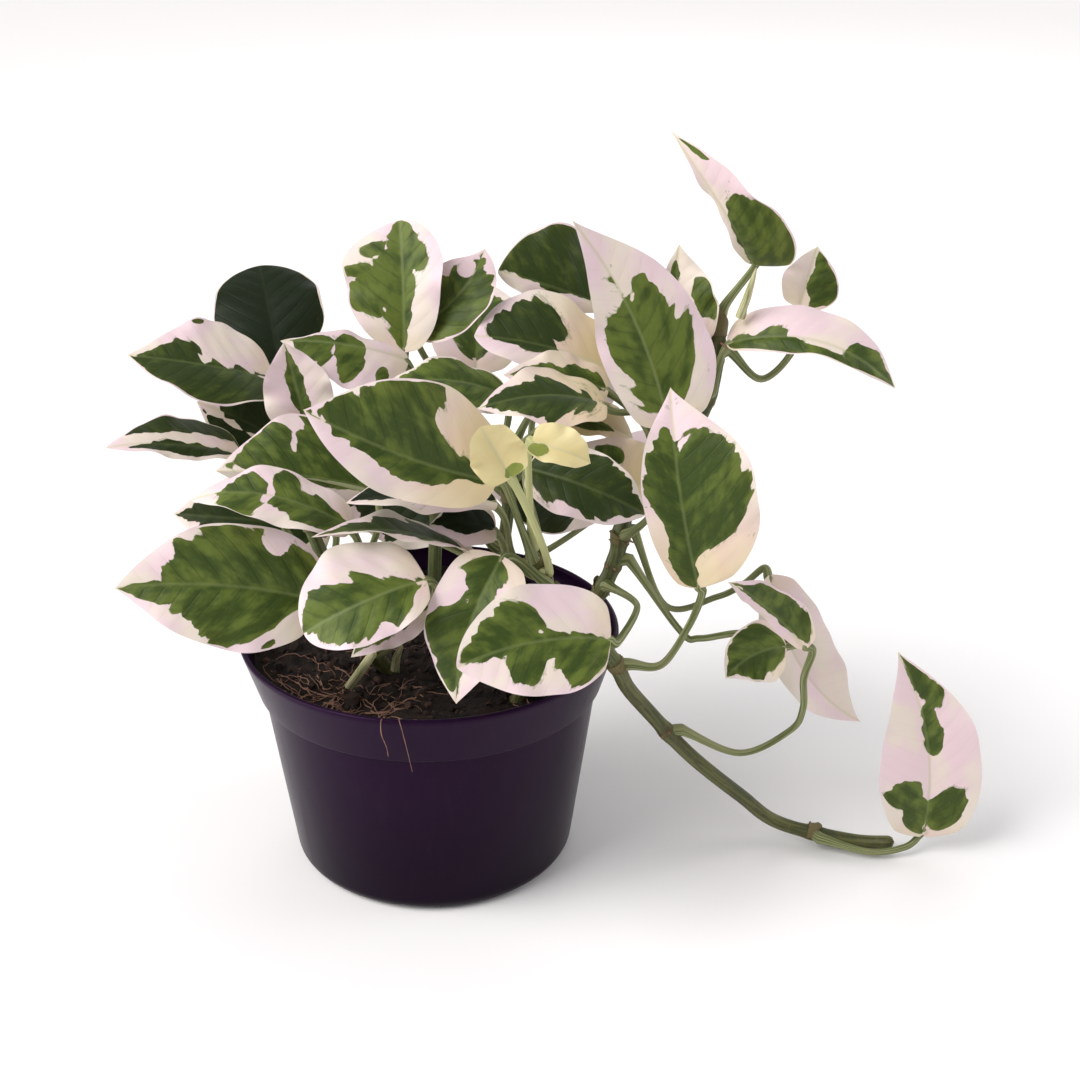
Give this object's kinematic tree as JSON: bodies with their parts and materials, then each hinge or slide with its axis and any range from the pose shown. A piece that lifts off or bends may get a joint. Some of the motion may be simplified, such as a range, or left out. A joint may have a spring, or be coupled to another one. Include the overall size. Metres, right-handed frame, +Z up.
{
  "type": "potted pothos plant",
  "caption": "Bushy variegated pothos in a tapered nursery pot, with heart-shaped leaves on thin stalks and a vine that trails over the rim.",
  "frame": {"origin": "centre of the pot's underside, on the surface it stands on", "axes": "+Z up along the pot's axis; +X towards the side where the vine trails over the rim; -Y towards the front of the plant"},
  "size_m": [0.2718, 0.1797, 0.234],
  "materials": {
    "pot_plastic": "dark purple-black moulded polypropylene with a soft sheen, dusty and finely scuffed",
    "soil": "moist dark potting mix of peat, bark fines and roots",
    "vine_skin": "smooth olive-green living stem with brown nodes and root nubs",
    "variegated_leaf": "satin leaf, green splashed with cream and pinkish white",
    "young_leaf": "thin new leaf, yellow-cream",
    "young_growth": "pale green shoot"
  },
  "bodies": {
    "root": {"centre_leaf": "variegated_leaf", "front_leaf_1": "variegated_leaf", "front_leaf_2": "variegated_leaf", "front_leaf_3": "variegated_leaf", "front_leaf_4": "variegated_leaf", "front_leaf_5": "variegated_leaf", "inner_leaf_1": "variegated_leaf", "inner_leaf_2": "variegated_leaf", "inner_leaf_3": "variegated_leaf", "inner_leaf_4": "variegated_leaf", "inner_leaf_5": "variegated_leaf", "left_back_leaf_1": "variegated_leaf", "left_back_leaf_2": "variegated_leaf", "left_back_leaf_3": "variegated_leaf", "left_back_leaf_4": "variegated_leaf", "left_back_leaf_5": "variegated_leaf", "left_leaf_1": "variegated_leaf", "left_leaf_2": "variegated_leaf", "left_leaf_3": "variegated_leaf", "pot": "pot_plastic", "rear_leaf_1": "variegated_leaf", "rear_leaf_2": "variegated_leaf", "rear_leaf_3": "variegated_leaf", "rear_leaf_4": "variegated_leaf", "rear_leaf_5": "variegated_leaf", "rear_leaf_6": "variegated_leaf", "rear_leaf_7": "variegated_leaf", "rear_leaf_8": "variegated_leaf", "right_leaf": "variegated_leaf", "rolled_leaf": "young_growth", "soil": "soil", "sprout": "young_growth", "stub": "young_growth", "tall_leaf_1": "variegated_leaf", "tall_leaf_2": "variegated_leaf", "tall_leaf_3": "variegated_leaf", "tall_leaf_4": "variegated_leaf", "tall_leaf_5": "variegated_leaf", "trailing_leaf_1": "variegated_leaf", "trailing_leaf_2": "variegated_leaf", "trailing_leaf_3": "variegated_leaf", "trailing_leaf_4": "variegated_leaf", "upper_leaf_1": "variegated_leaf", "upper_leaf_2": "variegated_leaf", "upper_leaf_3": "variegated_leaf", "upper_leaf_4": "variegated_leaf", "upper_leaf_5": "variegated_leaf", "upper_leaf_6": "variegated_leaf", "upper_leaf_7": "variegated_leaf", "upper_leaf_8": "variegated_leaf", "vine_back": "vine_skin", "vine_centre": "vine_skin", "vine_far_left": "vine_skin", "vine_front": "vine_skin", "vine_left": "vine_skin", "vine_rear": "vine_skin", "vine_tall": "vine_skin", "vine_trailing": "vine_skin", "young_leaf_1": "young_leaf", "young_leaf_2": "young_leaf"}
  },
  "joints": []
}
